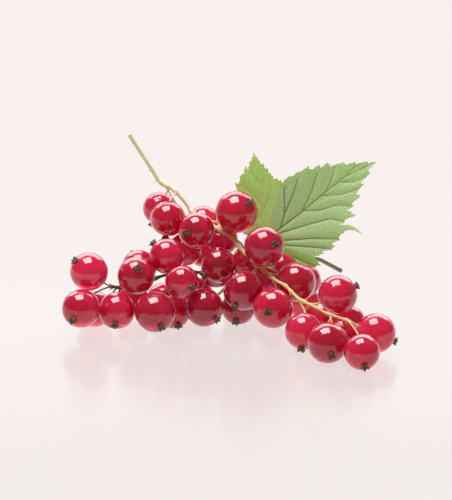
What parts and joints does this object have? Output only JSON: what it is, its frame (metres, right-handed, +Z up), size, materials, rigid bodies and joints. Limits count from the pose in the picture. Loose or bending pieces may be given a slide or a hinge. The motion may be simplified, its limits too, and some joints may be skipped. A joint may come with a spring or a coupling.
{
  "type": "sprig of redcurrants",
  "caption": "Cut sprig of ripe redcurrants lying on a surface: glossy round berries with dried calyxes on short stems along thin arched stalks, with a lobed, toothed leaf.",
  "frame": {"origin": "middle of the bounding box, on the surface that the sprig lies on", "axes": "+Z up; +X along the heap, from its left end to the tip of the main stalk; -Y towards the front, where the main stalk's tip comes forward"},
  "size_m": [0.0876, 0.07, 0.0469],
  "materials": {
    "berry_skin": "gloss",
    "dried_calyx": "matte",
    "fresh_stalk": "satin",
    "woody_stalk": "satin",
    "leaf": "satin",
    "leaf_stem": "satin"
  },
  "bodies": {
    "root": {"main_berry_01": "berry_skin", "main_berry_02": "berry_skin", "main_berry_03": "berry_skin", "main_berry_04": "berry_skin", "main_berry_05": "berry_skin", "main_berry_06": "berry_skin", "main_berry_07": "berry_skin", "main_berry_08": "berry_skin", "main_berry_09": "berry_skin", "main_berry_10": "berry_skin", "main_berry_11": "berry_skin", "main_berry_12": "berry_skin", "main_berry_13": "berry_skin", "main_berry_14": "berry_skin", "main_berry_15": "berry_skin", "main_berry_16": "berry_skin", "main_berry_17": "berry_skin", "main_berry_18": "berry_skin", "main_berry_19": "berry_skin", "main_berry_20": "berry_skin", "main_berry_21": "berry_skin", "main_berry_22": "berry_skin", "main_berry_23": "berry_skin", "main_berry_24": "berry_skin", "rear_berry_01": "berry_skin", "rear_berry_02": "berry_skin", "rear_berry_03": "berry_skin", "rear_berry_04": "berry_skin", "rear_berry_05": "berry_skin", "rear_berry_06": "berry_skin", "rear_berry_07": "berry_skin", "rear_berry_08": "berry_skin", "rear_berry_09": "berry_skin", "rear_berry_10": "berry_skin", "rear_berry_11": "berry_skin", "rear_berry_12": "berry_skin", "rear_berry_13": "berry_skin", "rear_berry_14": "berry_skin", "rear_berry_15": "berry_skin", "rear_berry_16": "berry_skin", "rear_berry_17": "berry_skin", "rear_berry_18": "berry_skin", "rear_berry_19": "berry_skin", "rear_berry_20": "berry_skin", "main_stalk": "fresh_stalk", "rear_stalk": "woody_stalk", "leaf_blade": "leaf", "leaf_stem": "leaf_stem"}
  },
  "joints": []
}
